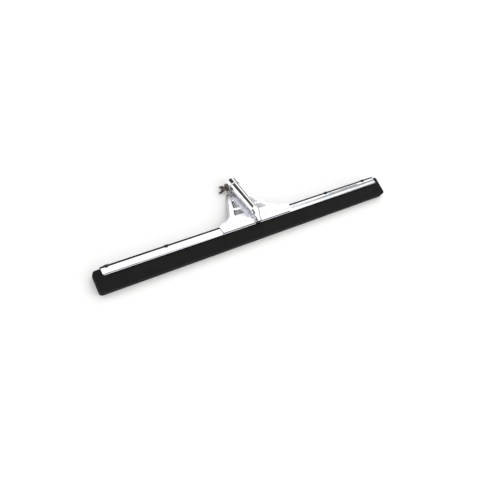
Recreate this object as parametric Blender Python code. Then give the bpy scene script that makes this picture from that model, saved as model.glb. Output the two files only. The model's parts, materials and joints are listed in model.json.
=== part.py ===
"""Squeegee head with a folded steel rail, two strips of cellular rubber and a pressed steel handle bracket.

The head is designed upright in a blade frame: X runs along the rail, Z rises from the wiping edge to the
handle socket, and -Y is the front. One empty then lays the finished head on its back, with the origin
under the middle of its bounding box.
"""

import math

import bmesh
import bpy
from mathutils import Matrix, Vector
from mathutils.geometry import tessellate_polygon

# Driving dimensions, in metres.
GAP = 0.0003  # clearance between pieces that touch

BLADE_LENGTH = 0.768
BLADE_SHIFT = -0.003  # the rubber stands out further at the left end of the rail
BLADE_DROP = 0.0329  # rubber showing below the rail
STRIP_THICKNESS = 0.0092
STRIP_CORNER = 0.005  # cut off each lower corner

RAIL_HEIGHT = 0.0195
RAIL_SHEET = 0.0012
RAIL_LENGTH = 0.7394
RAIL_CLEARANCE = 0.0005  # from the rubber to the sheet
RAIL_LIP = 0.0015  # how far the lower edge is turned out
LIP_EDGE = 0.0008  # upright part of the lip
LIP_SLOPE = 0.0020  # sloping part of the lip, above its edge
RAIL_BEND = 0.0022
FRONT_FLANGE = 0.0085
TAB_WIDTH = 0.009
TAB_LENGTH = 0.0052  # down the front face
TAB_CROWN = 0.0012  # rise of the bent tab above the flange
TAB_SHEET = 0.0011  # a little thinned by the bending
TAB_ROOT = 0.0030  # where the tab leaves the flange, from the rubber's face
TAB_ROOT_DEPTH = 0.0002
TAB_CREST = 0.0012
TAB_PLACES = (-0.357, -0.226, 0.210, 0.334)

PLATE_SHEET = 0.0015
PLATE_LEAN = math.radians(24.3)
PLATE_BEND = 0.008  # radius of the bend, at the front face
PLATE_KNEE = 0.0528  # height of the bend above the wiping edge
FOOT_DEPTH = 0.0166  # plate below the bend
FOOT_HALF_TOP = 0.0965
FOOT_HALF_BOTTOM = 0.0925
FOOT_CORNER = 0.0040
FLARE_HALF = 0.0890  # end of the foot's rounded top corner
FLARE_RISE = 0.0090
FLARE_CORNER = 0.0060
SHOULDER_HALF = 0.0715  # where the foot's top edge turns up
SHOULDER_RISE = 0.0115
SHOULDER_ROUND = 0.0120
WING_FOOT_HALF = 0.0580  # where the wing's straight side starts
WING_FOOT_RISE = 0.0235
WING_FOOT_ROUND = 0.0140
PLATE_TOP = 0.0940
PLATE_HALF_TOP = 0.0227
PLATE_CORNER = 0.0030
WINDOW_INNER = 0.0195
WINDOW_BOTTOM = 0.0195
WINDOW_TOP = 0.0660
WINDOW_HALF_TOP = 0.0215
WINDOW_HALF_BOTTOM = 0.0440
WINDOW_CORNER = 0.0015
WINDOW_TIP = 0.0006
BAR_BOTTOM = 0.0345
BAR_TOP = 0.0430

SOCKET_SHEET = 0.0012
SOCKET_MOUTH = 0.1135  # along the plate, from the bend
SOCKET_FOOT = -0.0188
MOUTH_RADIUS = 0.0132
NECK_RADIUS = 0.0103
FOOT_RADIUS = 0.0076
FOOT_TAPER = 1.4  # the foot's radius is reached before its end
SEAM_HALF_ANGLE = math.radians(176)
FOOT_HALF_ANGLE = math.radians(110)
SEAM_RUN = 0.0105  # the seam opens from this far above the bend to as far below it

COLLAR_BOTTOM = 0.0960
COLLAR_TOP = 0.1125
COLLAR_SHEET = 0.0014
COLLAR_CLEARANCE = 0.00035

SCREW_PLACE = 0.1040  # along the plate, from the bend
SCREW_BEHIND = math.radians(8)  # turned back from straight sideways
SCREW_RADIUS = 0.0030
SCREW_HOLE = 0.0033
SCREW_BORE = (0.0090, 0.0220)  # from the socket's axis
SCREW_BEVEL = 0.0006
NECK_PIN = 0.0020
NECK_DEPTH = 0.0012
BOSS_LENGTH = 0.0155
BOSS_WIDTH = 0.0130
BOSS_TOP = 0.0205  # from the socket's axis
BOSS_BEVEL = 0.0010

HUB_START = 0.0250  # from the socket's axis, as are all heights of the wing screw
HUB_FLANGE = 0.0280
HUB_ROUND = 0.0322
HUB_END = 0.0330
HUB_RADIUS = 0.0058
HUB_WAIST = 0.0046
HUB_FACE = 0.0038
WING_ROOT = 0.0020
WING_LOW = 0.0258
WING_ELBOW = 0.0072
WING_CURVE = 0.0024
WING_SHOULDER = 0.0322
WING_REACH = 0.0105
WING_END = 0.0372
WING_TIP = 0.0013
WING_INNER = 0.0070
WING_CROOK = 0.0048
WING_SADDLE = 0.0320
WING_THICKNESS = 0.0022

PAD_INNER = 0.0080
PAD_OUTER = 0.0104
PAD_RADIUS = 0.0045
PAD_BEVEL = 0.0005
PAD_CUP = 0.0015

RIVET_PLACES = (-0.087, -0.058, -0.027, 0.027, 0.058, 0.087)
RIVET_HEIGHT = 0.0455
RIVET_RADIUS = 0.0020
RIVET_HEAD = 0.0036
RIVET_RISE = 0.0015
RIVET_BORE = (-0.0100, 0.0300)
COLLAR_RIVET_RADIUS = 0.0016
COLLAR_RIVET_HEAD = 0.0032
COLLAR_RIVET_RISE = 0.0014
COLLAR_RIVET_FOOT = 0.0008
COLLAR_RIVET_BORE = (0.0090, 0.0180)

ROUND_STEPS = 24
SMALL_STEPS = 16
HOLE_STEPS = 12
CORNER_STEPS = 4
WINDOW_STEPS = 3
BEND_STEPS = 4
SEAM_STEPS = 6
TUBE_STEPS = 3
SHARP_ANGLE = math.radians(30)

# Worked out from the driving dimensions.
BLADE_BACK = 2 * STRIP_THICKNESS + GAP
RAIL_TOP = BLADE_DROP + RAIL_HEIGHT
RAIL_FACE = RAIL_CLEARANCE + RAIL_SHEET
FRONT_RAIL_TOP = RAIL_TOP - RAIL_SHEET - GAP
STRIP_HEIGHT = FRONT_RAIL_TOP - RAIL_SHEET - GAP
PLATE_BACK = -RAIL_FACE - GAP
PLATE_FRONT = PLATE_BACK - PLATE_SHEET


def clear_scene():
    for old in list(bpy.data.objects):
        bpy.data.objects.remove(old, do_unlink=True)


def finish(name, colour, roughness, metallic=1.0):
    """A Principled material with one colour."""
    material = bpy.data.materials.new(name)
    material.use_nodes = True
    shader = material.node_tree.nodes["Principled BSDF"]
    shader.inputs["Base Color"].default_value = (*colour, 1.0)
    shader.inputs["Roughness"].default_value = roughness
    shader.inputs["Metallic"].default_value = metallic
    return material


def add_object(name, bm, material, parent, matrix=None):
    """Turns a bmesh into a named child of the parent, in the given frame."""
    bmesh.ops.recalc_face_normals(bm, faces=bm.faces)
    mesh = bpy.data.meshes.new(name)
    bm.to_mesh(mesh)
    bm.free()
    mesh.materials.append(material)
    mesh.shade_smooth()
    mesh.set_sharp_from_angle(angle=SHARP_ANGLE)
    obj = bpy.data.objects.new(name, mesh)
    bpy.context.collection.objects.link(obj)
    obj.parent = parent
    obj.matrix_local = matrix or Matrix.Identity(4)
    return obj


def boolean(obj, other, operation="DIFFERENCE"):
    """Joins or cuts with another object, which is kept only as a hidden helper."""
    other.hide_render = True
    other.display_type = "WIRE"
    modifier = obj.modifiers.new(f"{operation.lower()} {other.name}", "BOOLEAN")
    modifier.operation = operation
    modifier.solver = "EXACT"
    modifier.object = other


def arc(centre, radius, start, end, steps):
    """Points of a circle from one angle to another, in degrees, both ends included."""
    angles = [math.radians(start + (end - start) * i / steps) for i in range(steps + 1)]
    return [(centre[0] + radius * math.cos(a), centre[1] + radius * math.sin(a)) for a in angles]


def offset_path(path, distance):
    """The path moved to its left by a distance, with mitred corners."""
    points = [Vector(p) for p in path]
    sides = []
    for a, b in zip(points, points[1:]):
        along = (b - a).normalized()
        sides.append(Vector((-along.y, along.x)))
    moved = []
    for i, point in enumerate(points):
        before, after = sides[max(i - 1, 0)], sides[min(i, len(sides) - 1)]
        mitre = (before + after).normalized()
        moved.append(point + mitre * (distance / mitre.dot(after)))
    return [tuple(p) for p in moved]


def rounded(corners, steps=CORNER_STEPS):
    """An outline from (x, y, radius) corners, each radius drawn as an arc."""
    outline = []
    for i, (x, y, radius) in enumerate(corners):
        here = Vector((x, y))
        before = (Vector(corners[i - 1][:2]) - here).normalized()
        after = (Vector(corners[(i + 1) % len(corners)][:2]) - here).normalized()
        half = before.angle(after) / 2
        if radius == 0:
            outline.append((x, y))
            continue
        centre = here + (before + after).normalized() * (radius / math.sin(half))
        start = here + before * (radius / math.tan(half)) - centre
        end = here + after * (radius / math.tan(half)) - centre
        turn = start.angle_signed(end)
        for step in range(steps + 1):
            spoke = start.copy()
            spoke.rotate(Matrix.Rotation(-turn * step / steps, 2))
            outline.append(tuple(centre + spoke))
    return outline


def prism(outline, low, high, place):
    """A closed solid from a 2-D outline; place(a, b, c) puts outline point (a, b) at depth c."""
    bm = bmesh.new()
    bottom = [bm.verts.new(place(a, b, low)) for a, b in outline]
    top = [bm.verts.new(place(a, b, high)) for a, b in outline]
    bm.faces.new(bottom)
    bm.faces.new(reversed(top))
    for i in range(len(outline)):
        j = (i + 1) % len(outline)
        bm.faces.new((bottom[i], bottom[j], top[j], top[i]))
    return bm


def along_x(y, z, x):
    """A cross-section of the rail, carried along X."""
    return (x, y, z)


def along_y(x, z, y):
    """A front view, carried along Y."""
    return (x, y, z)


def along_screw(across, outwards, up):
    """An outline seen along the socket, in the wing screw's frame."""
    return (up, across, outwards)


def turned(profile, steps):
    """A closed solid of revolution about Z from (radius, height) points; radius 0 makes a pole."""
    bm = bmesh.new()
    rings = []
    for radius, height in profile:
        if radius == 0:
            rings.append([bm.verts.new((0, 0, height))])
            continue
        angles = [2 * math.pi * i / steps for i in range(steps)]
        rings.append([bm.verts.new((radius * math.cos(a), radius * math.sin(a), height)) for a in angles])
    for lower, upper in zip(rings, rings[1:]):
        for i in range(steps):
            j = (i + 1) % steps
            near = [lower[i % len(lower)], lower[j % len(lower)]]
            far = [upper[j % len(upper)], upper[i % len(upper)]]
            bm.faces.new(list(dict.fromkeys(near + far)))
    return bm


def frame_along(origin, direction):
    """A matrix with its Z along the direction."""
    return Matrix.Translation(origin) @ Vector(direction).to_track_quat("Z", "Y").to_matrix().to_4x4()


def plate_frame(u, height):
    """A point in the YZ plane: u along the plate's front face from the bend, height in front of it.

    The face is vertical below the bend, an arc through it, and leans back by PLATE_LEAN above it.
    """
    half = PLATE_BEND * PLATE_LEAN / 2
    turn = PLATE_LEAN * min(max((u + half) / (2 * half), 0), 1)
    rise = PLATE_BEND * math.sin(turn) + min(u + half, 0)
    back = PLATE_BEND * (1 - math.cos(turn))
    past = max(u - half, 0)
    y = PLATE_FRONT + back + past * math.sin(turn) - height * math.cos(turn)
    z = PLATE_KNEE - half + rise + past * math.cos(turn) + height * math.sin(turn)
    return Vector((0, y, z))


def socket_section(u):
    """The socket's outer radius and the half angle of its wall, at u along the plate."""
    if u >= 0:
        radius = NECK_RADIUS + (MOUTH_RADIUS - NECK_RADIUS) * u / SOCKET_MOUTH
    else:
        radius = NECK_RADIUS + (FOOT_RADIUS - NECK_RADIUS) * min(u / SOCKET_FOOT * FOOT_TAPER, 1)
    share = min(max((u / SEAM_RUN + 1) / 2, 0), 1)
    smooth = share * share * (3 - 2 * share)
    return radius, FOOT_HALF_ANGLE + (SEAM_HALF_ANGLE - FOOT_HALF_ANGLE) * smooth


def open_tube(stations, section, thickness, steps):
    """A rolled sheet, open along its back: each station's section gives radius, half angle and centre."""
    bm = bmesh.new()
    rows = []
    for u in stations:
        radius, half_angle, centre = section(u)
        row = []
        for wall in (radius, radius - thickness):
            for i in range(steps + 1):
                angle = half_angle * (2 * i / steps - 1)
                point = plate_frame(u, centre + wall * math.cos(angle))
                row.append(bm.verts.new((wall * math.sin(angle), point.y, point.z)))
        rows.append(row[: steps + 1] + row[: steps : -1])
    count = len(rows[0])
    for lower, upper in zip(rows, rows[1:]):
        for i in range(count):
            j = (i + 1) % count
            bm.faces.new((lower[i], lower[j], upper[j], upper[i]))
    for row in (rows[0], rows[-1]):
        for i in range(steps):
            bm.faces.new((row[i], row[i + 1], row[count - 2 - i], row[count - 1 - i]))
    return bm


def screw_frame():
    """The wing screw's frame: origin on the socket's axis, Z outwards along the screw."""
    radius, _ = socket_section(SCREW_PLACE)
    origin = plate_frame(SCREW_PLACE, GAP + radius)
    front = (plate_frame(SCREW_PLACE, 1) - plate_frame(SCREW_PLACE, 0)).normalized()
    outwards = -math.cos(SCREW_BEHIND) * Vector((1, 0, 0)) - math.sin(SCREW_BEHIND) * front
    up_plate = (plate_frame(SCREW_PLACE, 0) - plate_frame(COLLAR_BOTTOM, 0)).normalized()
    across = up_plate.cross(outwards)
    axes = Matrix((up_plate, across, outwards)).transposed().to_4x4()
    return Matrix.Translation(origin) @ axes


def pin(name, material, parent, matrix, radius, bore, steps):
    """A plain cylinder along its frame's Z, used as a cutter; bore is its lowest and highest Z."""
    low, high = bore
    profile = [(0, low), (radius, low), (radius, high), (0, high)]
    return add_object(name, turned(profile, steps), material, parent, matrix)


def dome_profile(radius, base, rise, steps=4):
    """A rivet head from its rim to its pole, as (radius, height) points."""
    points = []
    for i in range(steps + 1):
        angle = math.pi / 2 * i / steps
        points.append((radius * math.cos(angle) if i < steps else 0, base + rise * math.sin(angle)))
    return points


def make_rubber(name, back, material, parent):
    """One strip of cellular rubber, with its lower corners cut off."""
    left, right = BLADE_SHIFT - BLADE_LENGTH / 2, BLADE_SHIFT + BLADE_LENGTH / 2
    cut = STRIP_CORNER
    outline = [
        (left + cut, 0), (right - cut, 0), (right, cut),
        (right, STRIP_HEIGHT), (left, STRIP_HEIGHT), (left, cut),
    ]
    return add_object(name, prism(outline, back, back + STRIP_THICKNESS, along_y), material, parent)


def make_front_rail(material, parent):
    """A folded sheet: turned-out lip, face, and a flange over the rubber."""
    lip = -RAIL_FACE - RAIL_LIP
    edge = BLADE_DROP + LIP_EDGE
    path = [(lip, BLADE_DROP), (lip, edge), (-RAIL_FACE, edge + LIP_SLOPE)]
    path += arc((-RAIL_FACE + RAIL_BEND, FRONT_RAIL_TOP - RAIL_BEND), RAIL_BEND, 180, 90, BEND_STEPS)
    path += [(FRONT_FLANGE, FRONT_RAIL_TOP)]
    outline = path + offset_path(path, -RAIL_SHEET)[::-1]
    half = RAIL_LENGTH / 2
    return add_object("front_rail", prism(outline, -half, half, along_x), material, parent)


def make_back_rail(material, parent):
    """The mirrored sheet, whose flange covers the front rail and is clenched over it by four tabs."""
    face = BLADE_BACK + RAIL_FACE
    edge = BLADE_DROP + LIP_EDGE
    path = [(face + RAIL_LIP, BLADE_DROP), (face + RAIL_LIP, edge), (face, edge + LIP_SLOPE)]
    path += arc((face - RAIL_BEND, RAIL_TOP - RAIL_BEND), RAIL_BEND, 0, 90, BEND_STEPS)
    path += [(-RAIL_FACE, RAIL_TOP)]
    outline = path + offset_path(path, RAIL_SHEET)[::-1]
    half = RAIL_LENGTH / 2
    rail = add_object("back_rail", prism(outline, -half, half, along_x), material, parent)
    front = -RAIL_FACE - GAP - RAIL_SHEET
    bend = RAIL_SHEET + GAP + TAB_CROWN
    top = RAIL_TOP + TAB_CROWN
    tab_path = [(TAB_ROOT, RAIL_TOP - TAB_ROOT_DEPTH), (TAB_CREST, top)]
    tab_path += arc((front + bend, top - bend), bend, 90, 180, BEND_STEPS)
    tab_path += [(front, RAIL_TOP - TAB_LENGTH)]
    tab_outline = tab_path + offset_path(tab_path, TAB_SHEET)[::-1]
    for number, place in enumerate(TAB_PLACES, 1):
        tab = prism(tab_outline, place - TAB_WIDTH / 2, place + TAB_WIDTH / 2, along_x)
        boolean(rail, add_object(f"tab_{number}", tab, material, parent), "UNION")
    return rail


def plate_outline():
    """The bracket plate laid flat: x across, u up from the bend."""
    right = [
        (FOOT_HALF_BOTTOM, -FOOT_DEPTH, FOOT_CORNER),
        (FOOT_HALF_TOP, 0, FLARE_CORNER),
        (FLARE_HALF, FLARE_RISE, FLARE_CORNER),
        (SHOULDER_HALF, SHOULDER_RISE, SHOULDER_ROUND),
        (WING_FOOT_HALF, WING_FOOT_RISE, WING_FOOT_ROUND),
        (PLATE_HALF_TOP, PLATE_TOP, PLATE_CORNER),
    ]
    return rounded(right + [(-x, u, r) for x, u, r in reversed(right)])


def plate_windows():
    """The two windows on each side, divided by a crossbar."""

    def outer(u):
        share = (u - WINDOW_BOTTOM) / (WINDOW_TOP - WINDOW_BOTTOM)
        return WINDOW_HALF_BOTTOM + (WINDOW_HALF_TOP - WINDOW_HALF_BOTTOM) * share

    sides = []
    for low, high, tip in ((WINDOW_BOTTOM, BAR_BOTTOM, WINDOW_CORNER), (BAR_TOP, WINDOW_TOP, WINDOW_TIP)):
        corners = [
            (WINDOW_INNER, low, WINDOW_CORNER), (outer(low), low, WINDOW_CORNER),
            (outer(high), high, tip), (WINDOW_INNER, high, tip),
        ]
        sides.append(rounded(corners, WINDOW_STEPS))
        sides.append(rounded([(-x, u, r) for x, u, r in reversed(corners)], WINDOW_STEPS))
    return sides


def plate_holes():
    """The rivet holes in the foot."""
    last = 360 - 360 / HOLE_STEPS
    height = RIVET_HEIGHT - PLATE_KNEE
    return [arc((place, height), RIVET_RADIUS + GAP, 0, last, HOLE_STEPS - 1) for place in RIVET_PLACES]


def make_plate(material, parent):
    """One pressed sheet: a foot on the rail, a bend, and two leaning wings with windows."""
    loops = [plate_outline()] + plate_windows() + plate_holes()
    flat = [[Vector((x, u, 0)) for x, u in loop] for loop in loops]
    triangles = tessellate_polygon(flat)
    bm = bmesh.new()
    layers = []
    for depth in (0.0, -PLATE_SHEET):
        layers.append([bm.verts.new((p.x, p.y, depth)) for loop in flat for p in loop])
    front, back = layers
    for a, b, c in triangles:
        bm.faces.new((front[a], front[b], front[c]))
        bm.faces.new((back[c], back[b], back[a]))
    start = 0
    for loop in flat:
        for i in range(len(loop)):
            j = start + (i + 1) % len(loop)
            bm.faces.new((front[start + i], front[j], back[j], back[start + i]))
        start += len(loop)
    half = PLATE_BEND * PLATE_LEAN / 2
    for step in range(BEND_STEPS + 1):
        everything = bm.verts[:] + bm.edges[:] + bm.faces[:]
        height = half * (2 * step / BEND_STEPS - 1)
        bmesh.ops.bisect_plane(bm, geom=everything, plane_co=(0, height, 0), plane_no=(0, 1, 0))
    for vert in bm.verts:
        bent = plate_frame(vert.co.y, vert.co.z)
        vert.co = (vert.co.x, bent.y, bent.z)
    return add_object("bracket_plate", bm, material, parent)


def make_socket(material, parent):
    """A sheet rolled to a tapered tube, whose seam opens towards its foot and lies on the rail."""
    bend = [SEAM_RUN * step / SEAM_STEPS for step in range(-SEAM_STEPS, SEAM_STEPS + 1)]
    neck = [SOCKET_FOOT, (SOCKET_FOOT - SEAM_RUN) / 2]
    mouth = [SEAM_RUN + (SOCKET_MOUTH - SEAM_RUN) * step / TUBE_STEPS for step in range(1, TUBE_STEPS + 1)]

    def section(u):
        radius, half_angle = socket_section(u)
        return radius, half_angle, GAP - radius * math.cos(half_angle)

    tube = open_tube(neck + bend + mouth, section, SOCKET_SHEET, ROUND_STEPS)
    return add_object("handle_socket", tube, material, parent)


def make_collar(material, parent):
    """A split steel band round the socket's mouth."""

    def section(u):
        radius, half_angle = socket_section(u)
        return radius + COLLAR_CLEARANCE + COLLAR_SHEET, half_angle, GAP + radius

    tube = open_tube([COLLAR_BOTTOM, COLLAR_TOP], section, COLLAR_SHEET, ROUND_STEPS)
    return add_object("clamp_collar", tube, material, parent)


def make_boss(material, parent, frame):
    """A threaded block on the collar's side, hollowed to sit on the band."""
    radius, _ = socket_section(COLLAR_TOP)
    seat = radius + COLLAR_CLEARANCE + COLLAR_SHEET + GAP
    half = BOSS_WIDTH / 2
    edge = math.degrees(math.asin(half / seat))
    outline = arc((0, 0), seat, 90 + edge, 90 - edge, 8)
    shoulder = BOSS_TOP - BOSS_BEVEL
    outline += [(half, shoulder), (half - BOSS_BEVEL, BOSS_TOP)]
    outline += [(BOSS_BEVEL - half, BOSS_TOP), (-half, shoulder)]
    place = (COLLAR_BOTTOM + COLLAR_TOP - BOSS_LENGTH) / 2 - SCREW_PLACE
    block = prism(outline, place, place + BOSS_LENGTH, along_screw)
    return add_object("screw_boss", block, material, parent, frame)


def make_wing_screw(material, parent, frame):
    """A cast wing screw: neck pin, shank, hub and two wings, all about its own Z."""
    neck = PAD_OUTER + GAP
    profile = [
        (0, PAD_OUTER - NECK_DEPTH), (NECK_PIN, PAD_OUTER - NECK_DEPTH), (NECK_PIN, neck),
        (SCREW_RADIUS, neck + SCREW_BEVEL), (SCREW_RADIUS, HUB_START), (HUB_RADIUS, HUB_START),
        (HUB_RADIUS, HUB_FLANGE), (HUB_WAIST, HUB_ROUND), (HUB_FACE, HUB_END), (0, HUB_END),
    ]
    screw = add_object("wing_screw", turned(profile, SMALL_STEPS), material, parent, frame)
    right = rounded([
        (WING_ROOT, WING_LOW, 0), (WING_ELBOW, WING_LOW, WING_CURVE),
        (WING_REACH, WING_SHOULDER, WING_CURVE), (WING_REACH, WING_END, WING_TIP),
        (WING_INNER, WING_END, WING_TIP),
        (WING_CROOK, WING_SADDLE, WING_TIP), (WING_ROOT, WING_SADDLE, 0),
    ], WINDOW_STEPS)
    outline = right + [(-across, out) for across, out in reversed(right)]
    half = WING_THICKNESS / 2
    wings = prism(outline, -half, half, along_screw)
    boolean(screw, add_object("wings", wings, material, parent, frame), "UNION")
    return screw


def make_pad(material, parent, frame):
    """The loose foot at the screw's inner end, cupped over the neck pin."""
    cup = NECK_PIN + GAP
    profile = [
        (0, PAD_INNER), (PAD_RADIUS - PAD_BEVEL, PAD_INNER), (PAD_RADIUS, PAD_INNER + PAD_BEVEL),
        (PAD_RADIUS, PAD_OUTER), (cup, PAD_OUTER), (cup, PAD_OUTER - PAD_CUP), (0, PAD_OUTER - PAD_CUP),
    ]
    return add_object("pressure_pad", turned(profile, SMALL_STEPS), material, parent, frame)


def make_rivets(material, parent, pierced):
    """Rivets through the bracket foot, both rails and both strips, with a clearance hole in each."""
    front = PLATE_FRONT - GAP
    back = BLADE_BACK + RAIL_FACE + GAP
    for number, place in enumerate(RIVET_PLACES, 1):
        frame = frame_along((place, 0, RIVET_HEIGHT), (0, 1, 0))
        front_head = [(r, -z) for r, z in dome_profile(RIVET_HEAD, -front, RIVET_RISE)][::-1]
        back_head = dome_profile(RIVET_HEAD, back, RIVET_RISE)
        profile = front_head + [(RIVET_RADIUS, front), (RIVET_RADIUS, back)] + back_head
        add_object(f"bracket_rivet_{number}", turned(profile, SMALL_STEPS), material, parent, frame)
        name = f"rivet_hole_{number}"
        hole = pin(name, material, parent, frame, RIVET_RADIUS + GAP, RIVET_BORE, HOLE_STEPS)
        for piece in pierced:
            boolean(piece, hole)


def make_collar_rivet(material, parent, pierced):
    """The rivet that holds the collar to the socket, on the side away from the screw."""
    radius, _ = socket_section(SCREW_PLACE)
    inside = math.sqrt((radius - SOCKET_SHEET) ** 2 - COLLAR_RIVET_HEAD**2) - GAP
    outside = radius + COLLAR_CLEARANCE + COLLAR_SHEET + GAP
    frame = frame_along(plate_frame(SCREW_PLACE, GAP + radius), (1, 0, 0))
    foot = inside - COLLAR_RIVET_FOOT
    profile = [(0, foot), (COLLAR_RIVET_HEAD, foot), (COLLAR_RIVET_HEAD, inside)]
    profile += [(COLLAR_RIVET_RADIUS, inside), (COLLAR_RIVET_RADIUS, outside)]
    profile += dome_profile(COLLAR_RIVET_HEAD, outside, COLLAR_RIVET_RISE)
    add_object("collar_rivet", turned(profile, SMALL_STEPS), material, parent, frame)
    radius = COLLAR_RIVET_RADIUS + GAP
    hole = pin("collar_rivet_hole", material, parent, frame, radius, COLLAR_RIVET_BORE, HOLE_STEPS)
    for piece in pierced:
        boolean(piece, hole)


def lay_down(root):
    """Turns the head on to its back, resting on the rear wiping edge and the collar's rim."""
    radius, half_angle = socket_section(COLLAR_TOP)
    rim = radius + COLLAR_CLEARANCE + COLLAR_SHEET
    lowest = plate_frame(COLLAR_TOP, GAP + radius + rim * math.cos(half_angle))
    tilt = math.atan2(lowest.z, lowest.y - BLADE_BACK)
    root.rotation_euler = (-tilt, 0, 0)
    bpy.context.view_layer.update()
    graph = bpy.context.evaluated_depsgraph_get()
    corners = []
    for obj in root.children:
        if not obj.hide_render:
            shape = obj.evaluated_get(graph)
            corners += [shape.matrix_world @ vert.co for vert in shape.data.vertices]
    low = [min(corner[axis] for corner in corners) for axis in range(3)]
    high = [max(corner[axis] for corner in corners) for axis in range(3)]
    root.location = (-(low[0] + high[0]) / 2, -(low[1] + high[1]) / 2, -low[2])


def main():
    clear_scene()
    zinc = finish("bright_zinc_sheet", (0.78, 0.79, 0.80), 0.28)
    bracket_zinc = finish("pressed_zinc_sheet", (0.80, 0.80, 0.83), 0.32)
    tube_chrome = finish("bright_plated_tube", (0.80, 0.81, 0.82), 0.14)
    rubber = finish("black_cellular_rubber", (0.012, 0.012, 0.011), 0.85, 0.0)
    cast = finish("dull_zinc_casting", (0.27, 0.25, 0.23), 0.45)

    root = bpy.data.objects.new("blade_frame", None)
    bpy.context.collection.objects.link(root)
    front_strip = make_rubber("front_rubber_strip", 0.0, rubber, root)
    back_strip = make_rubber("back_rubber_strip", STRIP_THICKNESS + GAP, rubber, root)
    front_rail = make_front_rail(zinc, root)
    back_rail = make_back_rail(zinc, root)
    make_plate(bracket_zinc, root)
    socket = make_socket(tube_chrome, root)
    collar = make_collar(tube_chrome, root)
    frame = screw_frame()
    boss = make_boss(cast, root, frame)
    make_wing_screw(cast, root, frame)
    make_pad(cast, root, frame)
    screw_hole = pin("screw_hole", cast, root, frame, SCREW_HOLE, SCREW_BORE, SMALL_STEPS)
    for piece in (socket, collar, boss):
        boolean(piece, screw_hole)
    make_rivets(bracket_zinc, root, (front_strip, back_strip, front_rail, back_rail))
    make_collar_rivet(cast, root, (socket, collar))
    lay_down(root)


main()
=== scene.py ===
import json
import math

import bpy
import numpy as np
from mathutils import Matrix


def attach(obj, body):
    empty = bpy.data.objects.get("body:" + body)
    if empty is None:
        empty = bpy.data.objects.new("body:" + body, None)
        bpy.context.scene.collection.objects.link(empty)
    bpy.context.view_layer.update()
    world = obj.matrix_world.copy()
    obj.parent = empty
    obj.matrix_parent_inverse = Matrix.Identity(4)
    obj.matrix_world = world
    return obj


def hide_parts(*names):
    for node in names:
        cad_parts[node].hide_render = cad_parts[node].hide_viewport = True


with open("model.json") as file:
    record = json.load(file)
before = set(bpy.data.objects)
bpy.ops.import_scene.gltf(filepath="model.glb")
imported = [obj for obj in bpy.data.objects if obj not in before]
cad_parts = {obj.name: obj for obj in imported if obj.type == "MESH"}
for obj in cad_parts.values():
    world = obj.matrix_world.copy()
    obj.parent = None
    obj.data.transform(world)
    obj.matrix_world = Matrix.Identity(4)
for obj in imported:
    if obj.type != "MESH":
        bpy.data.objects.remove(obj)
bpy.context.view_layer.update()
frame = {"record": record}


# ---- Studio ----
# The head lies on its back on a white sweep, under one even white dome. Soft grey cards stand
# behind it and at its sides, and they draw most of the dark lines along the bends of the metal; the dark line
# along the front rail's top bend is painted shade.

FLOOR_HALF = 9.0
WHITE_PAINT = "#f4f4f3"
DOME_STRENGTH = 1.5
CARDS = (  # for X, Y and Z where a card fades in, is full, starts to go and is gone; then the light left
    ((-0.62, -0.52, 0.16, 0.44), (0.10, 0.30, 2.0, 3.0), (0.10, 0.30, 0.66, 0.80), 0.04),
    ((-0.40, -0.20, 0.30, 0.60), (0.50, 0.70, 2.0, 3.0), (-0.05, 0.02, 0.24, 0.32), 0.20),
    ((0.44, 0.64, 2.0, 3.0), (0.052, 0.086, 0.132, 0.156), (0.20, 0.40, 2.0, 3.0), 0.12),
    ((0.56, 0.64, 2.0, 3.0), (0.45, 0.55, 2.0, 3.0), (-0.70, -0.60, 0.30, 0.42), 0.08),
    ((0.84, 0.92, 2.0, 3.0), (-3.0, -2.0, 0.38, 0.50), (-0.70, -0.60, 0.34, 0.46), 0.10),
    ((-3.0, -2.0, -0.66, -0.50), (-3.0, -2.0, 0.36, 0.50), (-0.70, -0.60, 0.64, 0.80), 0.10),
)


def linear(hex_colour):
    """An sRGB hex colour in linear light: the low values divided by 12.92, the rest raised to 2.4."""
    srgb = np.array([int(hex_colour[i:i + 2], 16) for i in (1, 3, 5)]) / 255
    rgb = np.where(srgb <= 0.04045, srgb / 12.92, ((srgb + 0.055) / 1.055) ** 2.4)
    return (*rgb.tolist(), 1.0)


def add_node(tree, kind, settings=None, inputs=None):
    """Adds a node. Settings are its attributes; inputs go by name or number, each a value or an output."""
    made = tree.nodes.new("ShaderNode" + kind)
    for key, value in (settings or {}).items():
        setattr(made, key, value)
    for key, value in (inputs or {}).items():
        if isinstance(value, bpy.types.NodeSocket):
            tree.links.new(value, made.inputs[key])
        else:
            made.inputs[key].default_value = value
    return made


def principled(name, **sockets):
    """A new material with one Principled shader, whose sockets are given with _ for each space."""
    made = bpy.data.materials.new(name)
    made.use_nodes = True
    shader = made.node_tree.nodes["Principled BSDF"]
    for key, value in sockets.items():
        shader.inputs[key.replace("_", " ")].default_value = value
    return made, made.node_tree, shader


def fade(tree, value, start, end, low=0.0, high=1.0):
    """The value carried from start..end to low..high along a smooth S curve."""
    settings = {"interpolation_type": "SMOOTHSTEP"}
    inputs = {"Value": value, "From Min": start, "From Max": end, "To Min": low, "To Max": high}
    return add_node(tree, "MapRange", settings, inputs).outputs["Result"]


def times(tree, first, second):
    """The product of two values."""
    return add_node(tree, "Math", {"operation": "MULTIPLY"}, {0: first, 1: second}).outputs[0]


def card(tree, axes, recipe):
    """1 inside a box of directions and 0 outside it, the product of a rise and a fall on each axis."""
    share = 1.0
    for axis, (start, full, last, end) in zip("XYZ", recipe):
        rises = fade(tree, axes.outputs[axis], start, full)
        falls = fade(tree, axes.outputs[axis], last, end, 1.0, 0.0)
        share = times(tree, times(tree, rises, falls), share)
    return share


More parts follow.
